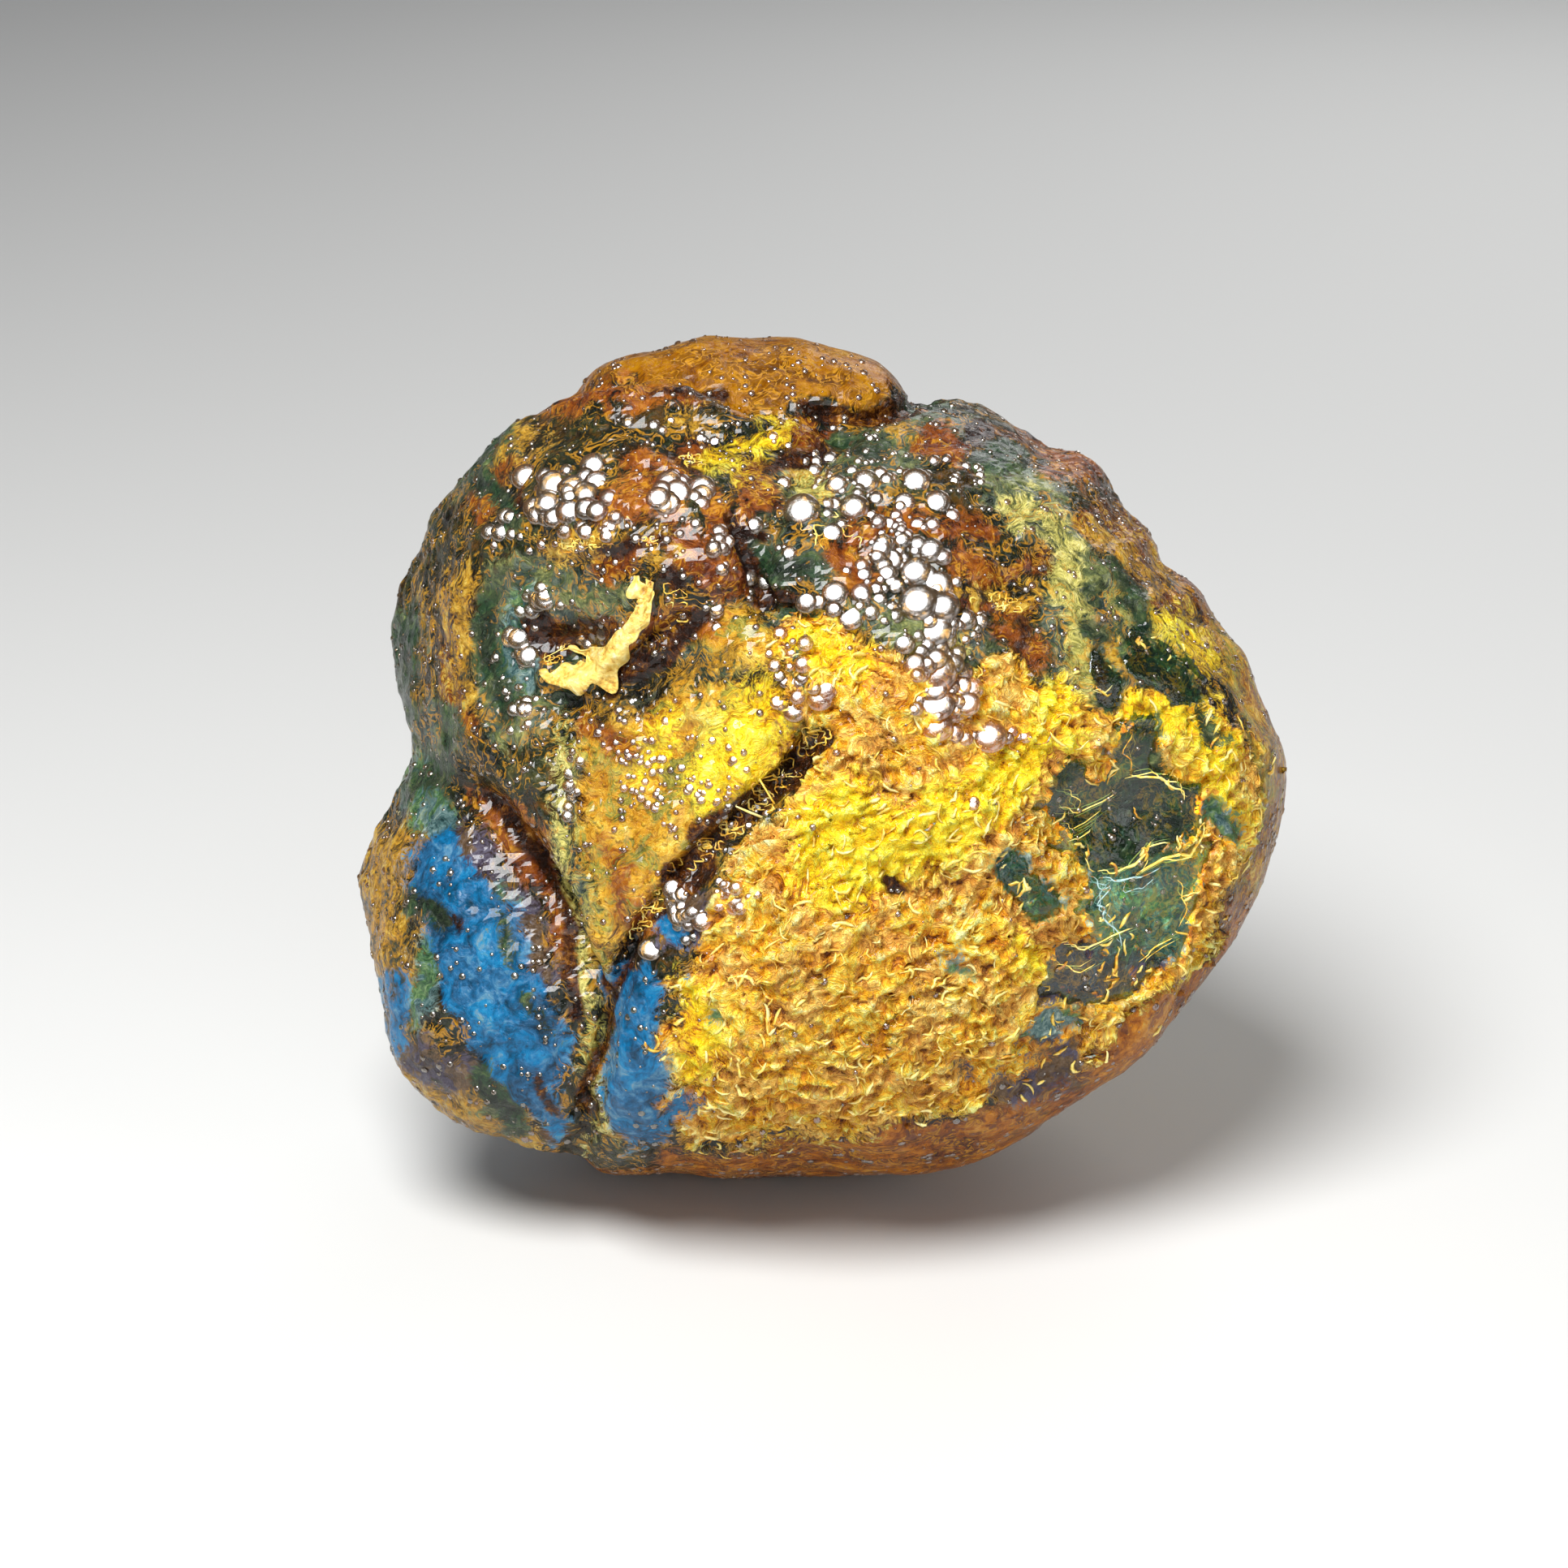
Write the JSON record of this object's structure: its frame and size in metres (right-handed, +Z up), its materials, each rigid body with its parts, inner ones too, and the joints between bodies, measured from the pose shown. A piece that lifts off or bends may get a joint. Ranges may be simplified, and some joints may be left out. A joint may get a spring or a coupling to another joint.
{
  "type": "rough blue amber nodule",
  "caption": "Rough nodule of Dominican blue amber with a folded side lobe, deep creases, wet drops of resin and a fibrous golden crust, resting on a small flat spot.",
  "frame": {"origin": "under the middle of the nodule's box, at the level of the flat spot that it rests on", "axes": "+Z up, -Y towards the creased front with the blue lobe at its lower left, +X to the right of that front and along the nodule's longest side"},
  "size_m": [0.0816, 0.0652, 0.0722],
  "materials": {
    "blue_amber": "wet, glossy fossil resin: golden and brown crust with clear green and fluorescent blue windows"
  },
  "bodies": {
    "root": {"amber_nodule": "blue_amber"}
  },
  "joints": []
}
